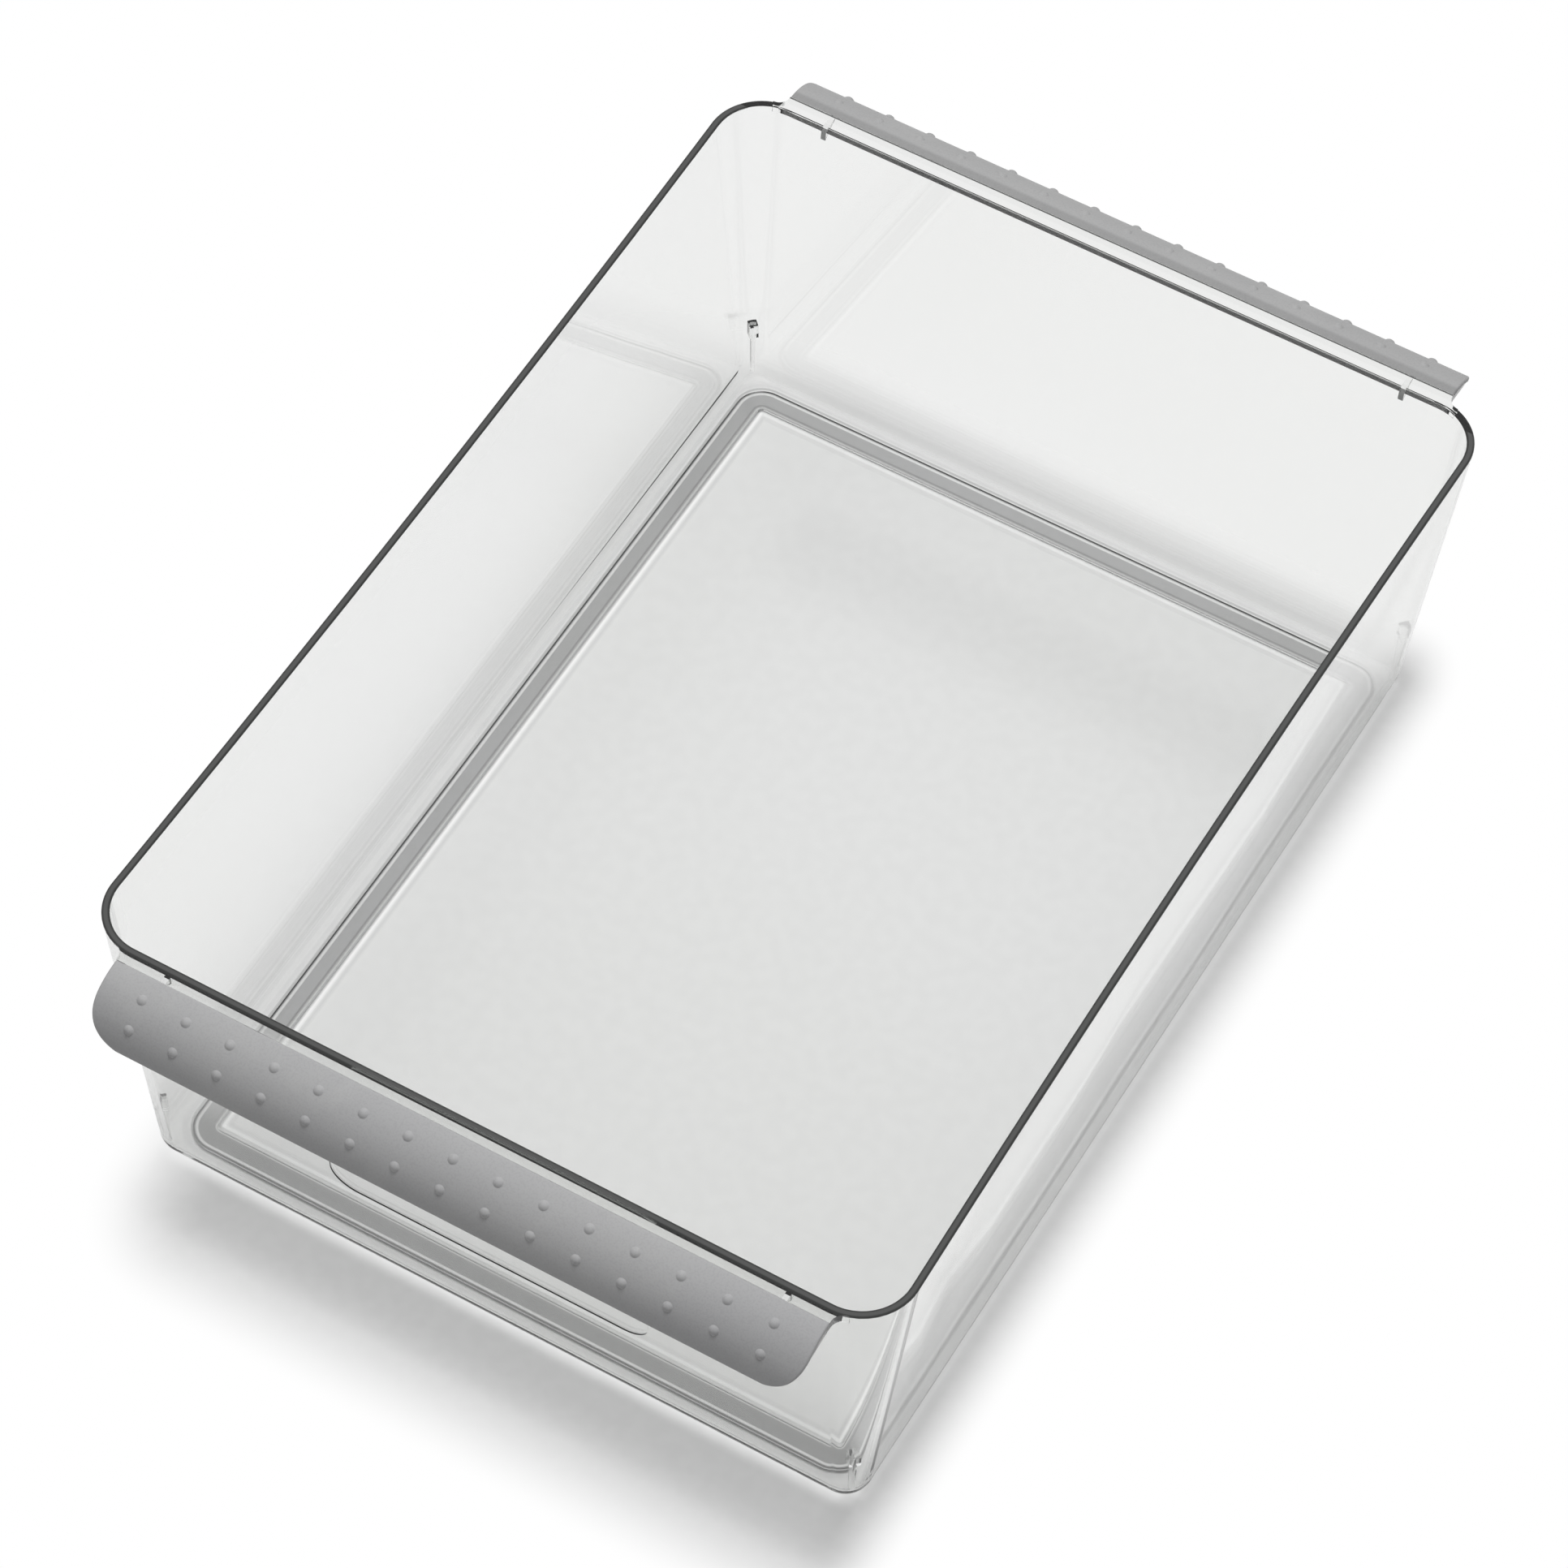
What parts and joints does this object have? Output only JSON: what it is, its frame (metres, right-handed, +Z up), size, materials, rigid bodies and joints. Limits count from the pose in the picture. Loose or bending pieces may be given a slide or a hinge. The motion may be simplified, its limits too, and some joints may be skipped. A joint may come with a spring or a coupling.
{
  "type": "clear fridge bin with soft grips",
  "caption": "Clear, open-topped rectangular bin for a fridge shelf, with a rolled lip and a nubbed soft grip at each end, and a soft foot ring under its floor.",
  "frame": {"origin": "middle of the footprint, on the surface that the bin stands on", "axes": "+X across the bin, +Y from the front lip to the rear lip, +Z up"},
  "size_m": [0.229, 0.3622, 0.1045],
  "materials": {
    "clear_plastic": "polished, crystal clear",
    "grey_grip": "soft matte",
    "grey_ring": "soft matte"
  },
  "bodies": {
    "root": {"bin_shell": "clear_plastic", "front_grip": "grey_grip", "rear_grip": "grey_grip", "base_ring": "grey_ring"}
  },
  "joints": []
}
